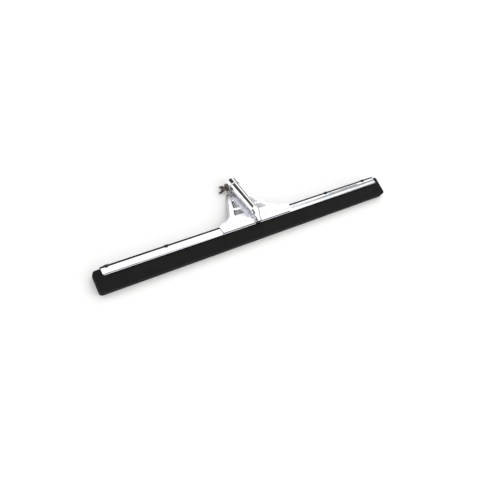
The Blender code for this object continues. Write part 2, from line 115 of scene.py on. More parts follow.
bpy.context.scene.view_settings.view_transform = "Standard"
studio = bpy.data.worlds.new("white_dome")
bpy.context.scene.world = studio
studio.use_nodes = True
sky = studio.node_tree
axes = add_node(sky, "SeparateXYZ", inputs={0: add_node(sky, "TexCoord").outputs["Generated"]})
light = DOME_STRENGTH
for *recipe, left in CARDS:
    light = times(sky, fade(sky, card(sky, axes, recipe), 0.0, 1.0, 1.0, left), light)
background = sky.nodes["Background"]
background.inputs["Color"].default_value = (1.0, 1.0, 1.0, 1.0)
sky.links.new(light, background.inputs["Strength"])

floor_mesh = bpy.data.meshes.new("floor")
corners = ((-1, -1), (1, -1), (1, 1), (-1, 1))
floor_mesh.from_pydata([(FLOOR_HALF * x, FLOOR_HALF * y, 0.0) for x, y in corners], [], [(0, 1, 2, 3)])
floor = bpy.data.objects.new("floor", floor_mesh)
bpy.context.collection.objects.link(floor)
white_paint = principled("white_sweep_paint", Base_Color=linear(WHITE_PAINT), Roughness=0.9)[0]
floor.data.materials.append(white_paint)

camera_data = bpy.data.cameras.new("camera")
camera_data.lens = 36.0
camera_data.sensor_width = 36.0
camera = bpy.data.objects.new("camera", camera_data)
camera.location = (-0.5481, -0.4988, 0.9389)
camera.rotation_euler = [math.radians(turn) for turn in (31.783, -14.444, -29.778)]
bpy.context.collection.objects.link(camera)
bpy.context.scene.camera = camera


# ---- Rubber blade ----
# Two strips of black cellular rubber, side by side, stand out of the rail and do the wiping. They are
# sawn from a moulded sheet, so their faces are matte, a little wavy and full of fine closed cells.

GAP = 0.0003
STRIP_THICKNESS = 0.0092
STRIP_TOP = 0.0494
STRIP_HALF = 0.384
STRIP_SHIFT = -0.003  # it stands out further at the left end of the rail
STRIP_CORNER = 0.0062  # rounding of each corner, seen from the front
STRIP_BULGE = 0.0016  # each end swells a little, where the sheet relaxed after the saw
STRIP_EASE = 0.0009  # rounding of the long edges
STRIP_WAVES = ((0.00010, 0.137), (0.00006, 0.059))  # height and length of each slow wave
RUBBER_DARK = "#0b0b0a"
RUBBER_PALE = "#121211"
CELL_SIZE = 0.0011  # real cells are 0.3 mm, drawn coarser so that they show

EDGE = {mount["name"]: mount for mount in frame["record"]["mounts"]}["wiping_edge"]
UP = -np.array(EDGE["axis"])
BACK = np.cross(UP, (1.0, 0.0, 0.0))
START = np.array(EDGE["pos_m"]) - BACK * STRIP_THICKNESS / 2


def in_place(points):
    """Blade points (along the rail, back from its front, up from the wiping edge) in the frame."""
    return points @ np.array([(1.0, 0.0, 0.0), BACK, UP]) + START


def eased(corners, radius, closed=True, steps=5, support=0.0003):
    """The outline with every corner drawn as an arc of the given radius. A point just before and just
    after each arc keeps the flats flat when the surface is shaded smooth. Leading axes are stations."""
    corners = np.asarray(corners, float)
    radius = np.broadcast_to(radius, corners.shape[:-1])[..., None]
    before = np.roll(corners, 1, -2) - corners
    after = np.roll(corners, -1, -2) - corners
    before = before / np.linalg.norm(before, axis=-1, keepdims=True)
    after = after / np.linalg.norm(after, axis=-1, keepdims=True)
    half = np.arccos(np.clip((before * after).sum(-1, keepdims=True), -1, 1)) / 2
    middle = corners + (before + after) / (2 * np.cos(half)) * radius / np.sin(half)
    start = corners + before * radius / np.tan(half)
    end = corners + after * radius / np.tan(half)
    share = np.linspace(0, 1, steps + 1)[:, None]
    sweep = np.pi - 2 * half[..., None, :]
    near = np.sin((1 - share) * sweep) / np.sin(sweep) * (start - middle)[..., None, :]
    far = np.sin(share * sweep) / np.sin(sweep) * (end - middle)[..., None, :]
    bends = [(start + before * support)[..., None, :], middle[..., None, :] + near + far]
    bends = np.concatenate(bends + [(end + after * support)[..., None, :]], -2)
    if closed:
        return bends.reshape(*corners.shape[:-2], -1, 2)
    inner = bends[..., 1:-1, :, :].reshape(*corners.shape[:-2], -1, 2)
    return np.concatenate([corners[..., :1, :], inner, corners[..., -1:, :]], -2)


def skin(shape, around=True, along=False, ends=True):
    """Quads of a grid of points: around joins the last column to the first, along the last row to the
    first, and ends closes the first and last rows by zipping each point to the one across the row."""
    index = np.arange(shape[0] * shape[1]).reshape(shape[:2])
    half = shape[1] // 2
    first, last = index[0], index[-1][::-1]
    index = np.vstack([index, index[:1]]) if along else index
    index = np.hstack([index, index[:, :1]]) if around else index
    quads = [np.stack([index[:-1, :-1], index[:-1, 1:], index[1:, 1:], index[1:, :-1]], -1).reshape(-1, 4)]
    for row in (first, last) if ends and not along else ():
        across = row[::-1]
        quads.append(np.stack([row[1:half], row[:half - 1], across[:half - 1], across[1:half]], -1))
    return np.concatenate(quads)


def outwards(points, faces):
    """The faces, all turned over if the volume that they enclose comes out negative."""
    a, b, c, d = points[faces.T]
    volume = (np.cross(b - a, c - a) * a).sum() + (np.cross(c - a, d - a) * a).sum()
    return faces if volume > 0 else faces[:, ::-1]


def piece(name, points, faces, materials, body, slot, *nodes, edge=None):
    """A closed smooth mesh that rides on a body in place of its CAD nodes. Faces marked by edge take
    the second material."""
    points = points.reshape(-1, 3)
    mesh = bpy.data.meshes.new(name)
    mesh.from_pydata(points.tolist(), [], outwards(points, faces).tolist())
    for material in materials:
        mesh.materials.append(material)
    if edge is not None:
        mesh.polygons.foreach_set("material_index", edge.astype(np.int32))
    mesh.shade_smooth()
    mesh.set_sharp_from_angle(angle=math.radians(40))
    made = bpy.data.objects.new(name, mesh)
    bpy.context.collection.objects.link(made)
    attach(made, body)
    if nodes:
        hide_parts(*nodes)
    return made


def noise(tree, coordinates, size, detail=3.0):
    """Fractal noise whose blotches are about the given size in metres."""
    inputs = {"Vector": coordinates, "Scale": 1 / size, "Detail": detail}
    return add_node(tree, "TexNoise", inputs=inputs).outputs["Fac"]


def blend_colours(tree, share, first, second):
    """The first colour where the share is 0, the second where it is 1."""
    mixer = add_node(tree, "Mix", {"data_type": "RGBA"}, {0: share, 6: linear(first), 7: linear(second)})
    return mixer.outputs[2]


def roughen(tree, shader, height, depth, strength=1.0):
    """Joins a bump of the given depth in metres to the shader."""
    inputs = {"Height": height, "Strength": strength, "Distance": depth}
    bump = add_node(tree, "Bump", inputs=inputs)
    tree.links.new(bump.outputs["Normal"], shader.inputs["Normal"])


def cellular_rubber():
    """Closed-cell rubber: near black, no gloss, with a faint cloudiness and pin-prick cells."""
    made, tree, shader = principled("black_cellular_rubber", Specular_IOR_Level=0.22)
    place = add_node(tree, "TexCoord").outputs["Object"]
    cloud = fade(tree, noise(tree, place, 0.03), 0.25, 0.75)
    tree.links.new(blend_colours(tree, cloud, RUBBER_DARK, RUBBER_PALE), shader.inputs["Base Color"])
    cells = add_node(tree, "TexVoronoi", inputs={"Vector": place, "Scale": 1 / CELL_SIZE})
    pits = fade(tree, cells.outputs["Distance"], 0.0, 0.45)
    roughen(tree, shader, pits, CELL_SIZE / 5, 0.8)
    tree.links.new(fade(tree, pits, 0.0, 1.0, 0.97, 0.82), shader.inputs["Roughness"])
    return made


def waves(x, recipe):
    """The sum of sine waves along x, each with its height and length."""
    return sum(height * np.sin(2 * np.pi * x / length + 7 * length / height) for height, length in recipe)


def rubber_strip(back):
    """A rounded rectangle carried along X. Its height shrinks by a quarter circle at each end, its
    thickness by a smaller one, and slow waves along X sway its free edge."""
    turn = np.linspace(0, np.pi / 2, 9)
    end = STRIP_HALF - STRIP_CORNER * (1 - np.sin(turn))
    x = np.concatenate([-end[::-1], np.linspace(-end[0], end[0], 160)[1:-1], end])
    past = np.clip((np.abs(x) - STRIP_HALF + STRIP_CORNER) / STRIP_CORNER, 0, 1)
    cut = STRIP_CORNER * (1 - np.sqrt(1 - past ** 2))
    tip = np.clip((np.abs(x) - STRIP_HALF + STRIP_EASE) / STRIP_EASE, 0, 1)
    thinning_and_shade = STRIP_EASE * 0.7 * (1 - np.sqrt(1 - tip ** 2))
    low, high = back + thinning_and_shade, back + STRIP_THICKNESS - thinning_and_shade
    corners = np.stack([np.stack([low, cut], -1), np.stack([high, cut], -1),
                        np.stack([high, STRIP_TOP - cut], -1), np.stack([low, STRIP_TOP - cut], -1)], -2)
    section = eased(corners, STRIP_EASE)
    y, z = section[..., 0], section[..., 1]
    sway = waves(x, STRIP_WAVES)[:, None] * (1 - z / STRIP_TOP)
    swell = STRIP_BULGE * (1 - (2 * z / STRIP_TOP - 1) ** 2)
    across = (x * (np.abs(x) / STRIP_HALF) ** 20)[:, None] / STRIP_HALF * swell + x[:, None] + STRIP_SHIFT
    return in_place(np.stack([across, y + sway, z], -1))


rubber = cellular_rubber()
for name, back in (("front", 0.0), ("back", STRIP_THICKNESS + GAP)):
    points = rubber_strip(back)
    node = f"{name}_rubber_strip"
    piece(f"{name}_rubber_blade", points, skin(points.shape), [rubber], "head", "black_cellular_rubber", node)


# ---- Rail ----
# Two lengths of bright zinc-coated sheet, folded round the rubber: a lip turned out below, a face with a
# slight crown, and a flange on top. The back sheet's flange covers the front one, and four tabs clench it
# down. The front sheet's top bend takes the dark cut-steel colour as a painted shadow line under the back
# sheet's flange, and the tabs' crowns take the same dark colour.

RAIL_HALF = 0.3697
RAIL_SHEET = 0.0012
RAIL_FACE = 0.0017  # outer face, in front of the rubber
RAIL_FOOT = 0.0329
RAIL_TOP = 0.0524
LIP_OUT = 0.0015
LIP_EDGE = 0.0009
LIP_SLOPE = 0.0022
LIP_EASES = (0.0008, 0.0036)  # at its free edge and where it leaves the face
RAIL_BEND = 0.0034
CROWN_RADIUS = 0.09
RAIL_CROWN = 0.0002  # bulge of the face
RAIL_CORNER = 0.0024  # rounding of the lip's ends
FRONT_FLANGE = 0.0085
BLADE_BACK = 2 * STRIP_THICKNESS + GAP
RAIL_WAVES = ((0.00005, 0.173), (0.00002, 0.071))
TAB_PLACES = (-0.357, -0.226, 0.210, 0.334)
TAB_WIDTH = 0.009
TAB_SHEET = 0.0011
TAB_CROWN = 0.0012
TAB_LENGTH = 0.0052
TAB_CORNER = 0.0022
TAB_DARK_DEPTH = 0.0010  # the tabs are dark above this far below the rail's top
BEND_SHADE_SHARE = 0.8  # share of the bend's radius painted dark as a shadow line
TAB_BACK = (0.0060, 0.0036, 0.0012)  # where it starts, leaves the flange and is at its crown
TAB_EASES = (0, 0.0008, 0.0008, 0.0017, 0)
ZINC = "#eceef0"
# the cut-steel colour, also used as painted shade on the rail's top bend and beside the windows' left edges
ZINC_DULL = "#dcdfe2"
CUT_STEEL_AND_SHADE = "#2a2d2e"
DRAW_LINES = 0.0009  # real draw lines are 0.1 mm apart, drawn coarser so that they show
DRAW_STRETCH = (0.012, 1.0, 1.0)


def sheet(path, thickness):
    """A closed section from an open path: the path, then the path moved to its right by the thickness
    and read backwards."""
    slope = np.gradient(path, axis=0)
    slope = slope / np.linalg.norm(slope, axis=1, keepdims=True)
    moved = path + thickness * np.stack([slope[:, 1], -slope[:, 0]], 1)
    return np.concatenate([path, moved[::-1]])


def carried(section, middle, half, corner, depth, rows):
    """The section carried along X about its middle. Points within a corner's radius of the section's
    tip stop short of the ends by a quarter circle; depth is each point's distance from that tip."""
    share = np.clip(1 - depth / corner, 0, 1)
    reach = half - corner * (1 - np.sqrt(1 - share ** 2))
    x = middle + rows[:, None] * reach
    y, z = section[:, 0] + 0 * x, section[:, 1] + 0 * x
    return np.stack([x, y, z], -1)


def cut_faces(shape, middle):
    """Marks the faces on a sheet's cut edges: the first and middle columns, and both end caps."""
    marks = np.zeros((shape[0] - 1, shape[1]), bool)
    marks[:, [middle - 1, -1]] = True
    return np.concatenate([marks.ravel(), np.ones(2 * (middle - 1), bool)])


def drawn_zinc(name, bright, dull, roughness):
    """Cold-rolled sheet with a bright zinc coat: faint draw lines run along it, and it is a little
    duller in patches."""
    made, tree, shader = principled(name, Metallic=1.0)
    place = add_node(tree, "TexCoord").outputs["Object"]
    stretch = add_node(tree, "Mapping", inputs={"Vector": place, "Scale": DRAW_STRETCH})
    lines = noise(tree, stretch.outputs["Vector"], DRAW_LINES, 2.0)
    patches = fade(tree, noise(tree, place, 0.045), 0.3, 0.7)
    tree.links.new(blend_colours(tree, patches, bright, dull), shader.inputs["Base Color"])
    low, high = roughness
    tree.links.new(fade(tree, lines, 0.3, 0.7, low, high), shader.inputs["Roughness"])
    roughen(tree, shader, lines, 0.00003, 0.35)
    return made


def sheared_edge_and_shade_line():
    """The sheet's sheared edge: bare steel, dark and dull, with the shear's fine drag marks. The same
    material paints the shadow line along the front rail's top bend and darkens the tabs' crowns.
    """
    made, tree, shader = principled("sheared_steel_and_shade_line", Base_Color=linear(CUT_STEEL_AND_SHADE), Metallic=0.6)
    place = add_node(tree, "TexCoord").outputs["Object"]
    marks = noise(tree, place, 0.0012)
    tree.links.new(fade(tree, marks, 0.3, 0.7, 0.5, 0.7), shader.inputs["Roughness"])
    roughen(tree, shader, marks, 0.00008, 0.5)
    return made


zinc = drawn_zinc("bright_zinc_sheet", ZINC, ZINC_DULL, (0.07, 0.15))
cut_edge_and_shade_line = sheared_edge_and_shade_line()
lip_y, edge_z = -RAIL_FACE - LIP_OUT, RAIL_FOOT + LIP_EDGE
front_top = RAIL_TOP - RAIL_SHEET - GAP
front_path = [(lip_y, RAIL_FOOT), (lip_y, edge_z), (-RAIL_FACE, edge_z + LIP_SLOPE)]
front_path += [(-RAIL_FACE - RAIL_CROWN, (edge_z + LIP_SLOPE + front_top - RAIL_BEND) / 2)]
back_path = [(BLADE_BACK - y, z) for y, z in front_path]
front_path += [(-RAIL_FACE, front_top), (FRONT_FLANGE, front_top)]
back_path += [(BLADE_BACK + RAIL_FACE, RAIL_TOP), (-RAIL_FACE, RAIL_TOP)]
radii = (0, *LIP_EASES, CROWN_RADIUS, RAIL_BEND, 0)
rows = np.linspace(-1, 1, 220)
for name, path, side in (("front_rail", front_path, 1), ("back_rail", back_path, -1)):
    path = eased(path, radii, closed=False)
    section = sheet(path, RAIL_SHEET * side)
    points = carried(section, 0.0, RAIL_HALF, RAIL_CORNER, section[:, 1] - RAIL_FOOT, rows)
    points[..., 1] += waves(points[..., 0], RAIL_WAVES) * (section[:, 1] < front_top - RAIL_BEND)
    edge = cut_faces(points.shape, len(path))
    # painted shade: the front sheet's top bend takes the dark cut-steel material, as a shadow line under the
    # back flange
    if side == 1:
        bend = np.flatnonzero(path[:-2, 1] > front_top - BEND_SHADE_SHARE * RAIL_BEND)
        edge[:-2 * (len(path) - 1)].reshape(len(rows) - 1, -1)[:, bend] = True
    piece(f"{name}_sheet", in_place(points), skin(points.shape), [zinc, cut_edge_and_shade_line], "head",
          "bright_zinc_sheet", name, edge=edge)

tab_front = -RAIL_FACE - GAP - TAB_SHEET
tab_top = RAIL_TOP + TAB_CROWN
tab_root, tab_leave, tab_crest = TAB_BACK
tab_path = [(tab_root, RAIL_TOP + GAP / 2), (tab_leave, RAIL_TOP + GAP / 2), (tab_crest, tab_top)]
tab_path += [(tab_front, tab_top), (tab_front, RAIL_TOP - TAB_LENGTH)]
tab_path = eased(tab_path, TAB_EASES, closed=False)
tab_section = sheet(tab_path, -TAB_SHEET)
tip = np.abs(tab_section[:, 1] - RAIL_TOP + TAB_LENGTH) + np.clip(tab_section[:, 0], 0, 1) * 9
for number, place in enumerate(TAB_PLACES, 1):
    points = carried(tab_section, place, TAB_WIDTH / 2, TAB_CORNER, tip, np.linspace(-1, 1, 9))
    edge = cut_faces(points.shape, len(tab_path))
    # the tabs' crowns take the dark cut-steel material
    crown = np.flatnonzero(tab_path[:-1, 1] > RAIL_TOP - TAB_DARK_DEPTH)
    edge[:-2 * (len(tab_path) - 1)].reshape(points.shape[0] - 1, -1)[:, crown] = True
    piece(f"rail_tab_{number}", in_place(points), skin(points.shape), [zinc, cut_edge_and_shade_line], "head",
          "bright_zinc_sheet", edge=edge)


# ---- Bracket plate ----
# One steel pressing, zinc plated: a foot riveted to the rail, a bend, and two leaning wings that carry
# the socket. Windows lighten the wings, and all the free edges are turned back to stiffen them.

PLATE_SHEET = 0.0015
PLATE_FRONT = -RAIL_FACE - GAP - PLATE_SHEET
PLATE_LEAN = math.radians(24.3)
PLATE_BEND = 0.008
PLATE_KNEE = 0.0528
FOOT_DEPTH = 0.0166
PLATE_TOP = 0.094
PLATE_SIDE = (  # half widths and heights of the right side's corners, with their rounding
    (0.0925, -FOOT_DEPTH, 0.004), (0.0965, 0.0, 0.006), (0.0890, 0.0090, 0.006),
    (0.0715, 0.0115, 0.012), (0.0580, 0.0235, 0.014), (0.0227, PLATE_TOP, 0.003),
)
WINDOW_INNER = 0.0195
WINDOW_FOOT = 0.0195
WINDOW_HEAD = 0.066
WINDOW_HALVES = (0.0415, 0.0205)  # at the foot and at the head
BAR = (0.0345, 0.043)
WINDOW_CORNER = 0.00065
WINDOW_TIP = 0.0022  # the upper windows end in a short edge, not a point
RIM = 0.0026  # width of the turned-back edge
RIM_DEPTH = 0.0021
WINDOW_SHADE_BAND = 0.0052  # width of the band of painted shade beside each window's left edge
GRID = 0.0007
SNAP = 0.97  # how far a loose corner moves to its outline, so that no two of them meet
SPANGLE = 0.004
PRESSED = "#f1f1f6"
PRESSED_DULL = "#e4e4ec"


def plate_point(x, u, height):
    """Blade points from the plate's own: across, up from the bend and in front of its face, which is
    upright below the bend, an arc through it and leaning above it."""
    half = PLATE_BEND * PLATE_LEAN / 2
    turn = PLATE_LEAN * np.clip((u + half) / (2 * half), 0, 1)
    past = np.maximum(u - half, 0)
    rise = PLATE_BEND * np.sin(turn) + np.minimum(u + half, 0)
    back = PLATE_BEND * (1 - np.cos(turn))
    y = PLATE_FRONT + back + past * np.sin(turn) - height * np.cos(turn)
    z = PLATE_KNEE - half + rise + past * np.cos(turn) + height * np.sin(turn)
    return np.stack([x + 0 * y, y, z], -1)


def nearest(points, loop):
    """For each point, the closest place on a closed outline and the distance to it."""
    best = np.full(len(points), np.inf)
    place = np.zeros_like(points)
    for start, end in zip(loop, np.roll(loop, -1, 0)):
        run = end - start
        share = np.clip((points - start) @ run / (run @ run), 0, 1)[:, None]
        foot = start + share * run
        gap = np.linalg.norm(points - foot, axis=1)
        closer = gap < best
        best[closer], place[closer] = gap[closer], foot[closer]
    return best, place


def inside(points, loop):
    """True where a ray towards +x crosses the outline an odd number of times."""
    count = np.zeros(len(points), int)
    for (ax, ay), (bx, by) in zip(loop, np.roll(loop, -1, 0)):
        straddles = (points[:, 1] < ay) != (points[:, 1] < by)
        slope = (bx - ax) / (by - ay) if by != ay else 0
        count += straddles & (points[:, 0] < ax + (points[:, 1] - ay) * slope)
    return count % 2 == 1


def window_half(u):
    """The windows' outer edge, which slopes in towards the socket."""
    share = (u - WINDOW_FOOT) / (WINDOW_HEAD - WINDOW_FOOT)
    return WINDOW_HALVES[0] + (WINDOW_HALVES[1] - WINDOW_HALVES[0]) * share


def pressed_sheet(outline, holes):
    """A flat grid, cut to the outline and the holes. Squares with their middle on the sheet are kept,
    their loose corners move on to the nearest outline, the height falls by a quarter round towards
    every free edge, and a second layer one sheet behind closes the solid. The last two results mark the
    cut faces, and the painted shade beside each window's left edge: 1 at the edge, 0 one band away."""
    low, high = outline.min(0), outline.max(0)
    columns, lines = (np.ceil((high - low) / GRID) + 2).astype(int)
    x = np.linspace(low[0] - GRID, high[0] + GRID, columns)
    u = np.linspace(low[1] - GRID, high[1] + GRID, lines)
    flat = np.stack(np.meshgrid(x, u), -1)
    middles = ((flat[1:, 1:] + flat[:-1, :-1]) / 2).reshape(-1, 2)
    kept = inside(middles, outline)
    for hole in holes:
        kept &= ~inside(middles, hole)
    squares = skin((lines, columns), around=False, ends=False)[kept]
    used, squares = np.unique(squares, return_inverse=True)
    squares = squares.reshape(-1, 4)
    flat = flat.reshape(-1, 2)[used]
    sides = np.stack([squares, np.roll(squares, -1, 1)], -1).reshape(-1, 2)
    key = sides[:, 0] * len(flat) + sides[:, 1]
    free = sides[~np.isin(key, sides[:, 1] * len(flat) + sides[:, 0])]
    loops = [outline] + holes
    loose = np.unique(free)
    distances, places = zip(*(nearest(flat[loose], loop) for loop in loops))
    choice = np.argmin(distances, 0)
    flat[loose] += SNAP * (np.array(places)[choice, np.arange(len(loose))] - flat[loose])
    edge = np.min([nearest(flat, loop)[0] for loop in loops], 0)
    share = np.clip(1 - edge / RIM, 0, 1) * 0.98
    rim = RIM_DEPTH * (1 - np.sqrt(1 - share ** 2)) * np.clip(flat[:, 1] / 0.006 - 0.3, 0, 1)
    front = in_place(plate_point(flat[:, 0], flat[:, 1], -rim))
    a, b, c, d = front[squares.T]
    across = np.cross(c - a, d - b)
    normal = np.zeros_like(front)
    for corner in range(4):
        np.add.at(normal, squares[:, corner], across)
    normal /= np.linalg.norm(normal, axis=1, keepdims=True)
    facing = in_place(plate_point(0.0, 0.05, 1.0)) - in_place(plate_point(0.0, 0.05, 0.0))
    normal *= np.sign((normal * facing).sum(1).mean())
    points = np.concatenate([front, front - PLATE_SHEET * normal])
    walls = np.stack([free[:, 1], free[:, 0], free[:, 0] + len(flat), free[:, 1] + len(flat)], 1)
    faces = np.concatenate([squares, squares[:, ::-1] + len(flat), walls])
    walled = np.arange(len(faces)) >= 2 * len(squares)
    # painted shade: a dark band beside each window's left edge
    thinning_and_shade = np.zeros(len(flat))
    for hole in holes:
        gap, place = nearest(flat, hole)
        faces_right = place[:, 0] - flat[:, 0] > 0.6 * gap - 0.0001
        left = flat[:, 0] < hole[:, 0].mean()
        thinning_and_shade = np.maximum(thinning_and_shade, np.clip(1 - gap / WINDOW_SHADE_BAND, 0, 1) * (faces_right & left))
    return points, faces, walled, np.tile(thinning_and_shade, 2)


def plated_pressing():
    """Pressed steel with a satin zinc plate: pale, slightly lavender, with a faint crystal spangle that
    shifts its gloss from cell to cell, and painted shade in dark steel grey beside each window's left edge."""
    made, tree, shader = principled("pressed_zinc_sheet", Metallic=1.0)
    place = add_node(tree, "TexCoord").outputs["Object"]
    cells = add_node(tree, "TexVoronoi", inputs={"Vector": place, "Scale": 1 / SPANGLE})
    tone = add_node(tree, "SeparateColor", inputs={0: cells.outputs["Color"]}).outputs["Red"]
    spangled = blend_colours(tree, tone, PRESSED, PRESSED_DULL)
    # painted shade beside the windows' left edges, mixed in as dark steel grey
    thinning_and_shade = fade(tree, add_node(tree, "Attribute", {"attribute_name": "painted_window_shade"}).outputs["Fac"], 0.25, 0.55)
    shown = add_node(tree, "Mix", {"data_type": "RGBA"}, {0: thinning_and_shade, 6: spangled, 7: linear(CUT_STEEL_AND_SHADE)})
    tree.links.new(shown.outputs[2], shader.inputs["Base Color"])
    tree.links.new(fade(tree, tone, 0.0, 1.0, 0.26, 0.34), shader.inputs["Roughness"])
    roughen(tree, shader, noise(tree, place, 0.0011), 0.00004, 0.35)
    return made


side = np.array(PLATE_SIDE)
corners = np.concatenate([side, side[::-1] * (-1, 1, 1)])
outline = eased(corners[:, :2], corners[:, 2])
windows = []
for low, high in ((WINDOW_FOOT, BAR[0]), (BAR[1], WINDOW_HEAD)):
    shape = np.array([(WINDOW_INNER, low), (window_half(low), low), (window_half(high), high),
                      (WINDOW_INNER, high)])
    shape[2, 0] += WINDOW_TIP if high == WINDOW_HEAD else 0
    windows += [eased(shape, WINDOW_CORNER), eased(shape * (-1, 1), WINDOW_CORNER)]
points, faces, cut, thinning_and_shade = pressed_sheet(outline, windows)
pressed = plated_pressing()
pressing = piece("bracket_pressing", points, faces, [pressed, cut_edge_and_shade_line], "head", "pressed_zinc_sheet",
                 "bracket_plate", edge=cut)
pressing.data.attributes.new("painted_window_shade", "FLOAT", "POINT").data.foreach_set("value", thinning_and_shade)


# ---- Handle socket ----
# A steel sheet rolled to a tapered tube and brightly plated. It stands on the plate, its seam behind,
# and below the bend it opens into a narrow rib that is welded down to the rail.

SOCKET_SHEET = 0.0012
SOCKET_MOUTH = 0.1135
SOCKET_FOOT = -0.0188
MOUTH_RADIUS = 0.0132
NECK_RADIUS = 0.0103
FOOT_RADIUS = 0.0076
FOOT_TAPER = 1.4
SEAM_ANGLE = math.radians(176)
FOOT_ANGLE = math.radians(110)
SEAM_RUN = 0.0105
TUBE_EASE = 0.0006
PINCH = (0.0018, 0.0034)  # depth and length of the crease at the bend
CHROME = "#f0f1f3"
CHROME_DULL = "#dcdee1"
POLISH_LINES = 0.0009  # real polishing lines are 0.1 mm apart, drawn coarser so that they show
POLISH_STRETCH = 33.0


def socket_section(u):
    """The tube's outer radius and half angle along the plate: a straight taper above the bend, a rib
    that narrows below it with a crease where the two meet, and a seam that opens on an S curve."""
    above = NECK_RADIUS + (MOUTH_RADIUS - NECK_RADIUS) * u / SOCKET_MOUTH
    below = NECK_RADIUS + (FOOT_RADIUS - NECK_RADIUS) * np.minimum(u / SOCKET_FOOT * FOOT_TAPER, 1)
    share = np.clip((u / SEAM_RUN + 1) / 2, 0, 1)
    crease = PINCH[0] * np.exp(-((u + SEAM_RUN / 2) / PINCH[1]) ** 2)
    angle = FOOT_ANGLE + (SEAM_ANGLE - FOOT_ANGLE) * share ** 2 * (3 - 2 * share)
    return np.where(u >= 0, above, below) - crease, angle


def rolled(u, radius, half_angle, height, thickness, columns=97):
    """A rolled sheet: for each station along the plate, the outer arc from seam to seam and the inner
    arc back. At both ends the wall thins by a quarter round, as a dressed edge does."""
    ends = np.minimum(u - u[0], u[-1] - u)
    share = np.clip(1 - ends / TUBE_EASE, 0, 1)
    ease = 0.45 * thickness * (1 - np.sqrt(1 - share ** 2))
    sweep = np.linspace(-1, 1, columns)
    angle = np.concatenate([sweep, sweep[::-1]]) * half_angle[:, None]
    outer = np.broadcast_to((radius - ease)[:, None], (len(u), columns))
    inner = np.broadcast_to((radius - thickness + ease)[:, None], (len(u), columns))
    wall = np.concatenate([outer, inner], 1)
    lift = height[:, None] + wall * np.cos(angle)
    flat = plate_point(0.0, u[:, None], lift)
    flat[..., 0] = wall * np.sin(angle)
    return in_place(flat)


def end_faces(shape):
    """Marks the faces that close a rolled sheet's two ends."""
    return np.arange((shape[0] - 1) * shape[1] + 2 * (shape[1] // 2 - 1)) >= (shape[0] - 1) * shape[1]


def bright_plate():
    """Nickel-chrome plate over a polished tube: nearly a mirror, with fine polishing lines along it."""
    made, tree, shader = principled("bright_plated_tube", Metallic=1.0)
    place = add_node(tree, "TexCoord").outputs["Object"]
    foot, mouth = in_place(plate_point(0.0, np.array([PLATE_BEND, SOCKET_MOUTH]), 0.0))
    slope = math.atan2(mouth[2] - foot[2], mouth[1] - foot[1])
    inputs = {"Vector": place, "Rotation": (slope, 0.0, 0.0), "Scale": (1.0, POLISH_STRETCH, 1.0)}
    stretch = add_node(tree, "Mapping", {"vector_type": "TEXTURE"}, inputs)
    lines = noise(tree, stretch.outputs["Vector"], POLISH_LINES, 2.0)
    stains = fade(tree, noise(tree, place, 0.016), 0.45, 0.75)
    tree.links.new(blend_colours(tree, stains, CHROME, CHROME_DULL), shader.inputs["Base Color"])
    tree.links.new(fade(tree, lines, 0.3, 0.7, 0.07, 0.15), shader.inputs["Roughness"])
    roughen(tree, shader, lines, 0.00002, 0.3)
    return made


chrome = bright_plate()
fine = TUBE_EASE * np.array([0, 0.08, 0.25, 0.55, 1.0])
bend = np.linspace(-0.016, 0.014, 42)
straight = np.linspace(0.02, SOCKET_MOUTH - 0.002, 24)
u = np.concatenate([SOCKET_FOOT + fine, bend, straight, SOCKET_MOUTH - fine[::-1]])
radius, half_angle = socket_section(u)
points = rolled(u, radius, half_angle, GAP - radius * np.cos(half_angle), SOCKET_SHEET)
piece("socket_tube", points, skin(points.shape), [chrome, cut_edge_and_shade_line], "head", "bright_plated_tube",
      "handle_socket", edge=end_faces(points.shape))


# ---- Clamp collar ----
# A band of thicker sheet, rolled round the tube's mouth over its seam and held by one rivet. It carries
# the boss of the wing screw and keeps the tube from spreading when the screw is tightened.

COLLAR_ENDS = (0.096, 0.1125)
COLLAR_SHEET = 0.0014
COLLAR_CLEARANCE = 0.00035

u = np.concatenate([COLLAR_ENDS[0] + fine, np.linspace(0.0975, 0.111, 12), COLLAR_ENDS[1] - fine[::-1]])
radius, half_angle = socket_section(u)
band = radius + COLLAR_CLEARANCE + COLLAR_SHEET
points = rolled(u, band, half_angle, GAP + radius, COLLAR_SHEET)
piece("collar_band", points, skin(points.shape), [chrome, cut_edge_and_shade_line], "head", "bright_plated_tube",
      "clamp_collar", edge=end_faces(points.shape))


# ---- Screw boss ----
# A small zinc block, cast with a saddle under it, that is brazed to the collar's side. It is tapped
# through for the wing screw.

SCREW_PLACE = 0.104
BOSS_LENGTH = 0.0155
BOSS_WIDTH = 0.013
BOSS_TOP = 0.0205
BOSS_HOLE = 0.0033
BOSS_SQUARE = 5.0  # the power of its superellipse
CAST = "#756e67"
CAST_DARK = "#262321"

TURN = {joint["name"]: joint for joint in frame["record"]["behaviour"]["joints"]}["screw_turn"]
SCREW_START = np.array(TURN["pos_m"])
OUT = -np.array(TURN["axis"])
top, low = in_place(plate_point(0.0, np.array([COLLAR_ENDS[1], SCREW_PLACE]), 0.0))
ALONG = (top - low) / np.linalg.norm(top - low)
ACROSS = np.cross(OUT, ALONG)


def on_screw(points):
    """Points in the screw's frame (along the socket, across it, out along the screw) in the frame."""
    return points @ np.array([ALONG, ACROSS, OUT]) + SCREW_START


def cast_zinc():
    """Rough die casting, tumbled and left unpolished: warm grey, darker where dirt stays, softly pitted."""
    made, tree, shader = principled("dull_zinc_casting", Metallic=0.9)
    place = add_node(tree, "TexCoord").outputs["Object"]
    dirt = fade(tree, noise(tree, place, 0.0045), 0.38, 0.66)
    tree.links.new(blend_colours(tree, dirt, CAST, CAST_DARK), shader.inputs["Base Color"])
    tree.links.new(fade(tree, dirt, 0.0, 1.0, 0.36, 0.6), shader.inputs["Roughness"])
    roughen(tree, shader, noise(tree, place, 0.0009), 0.00012, 0.6)
    return made


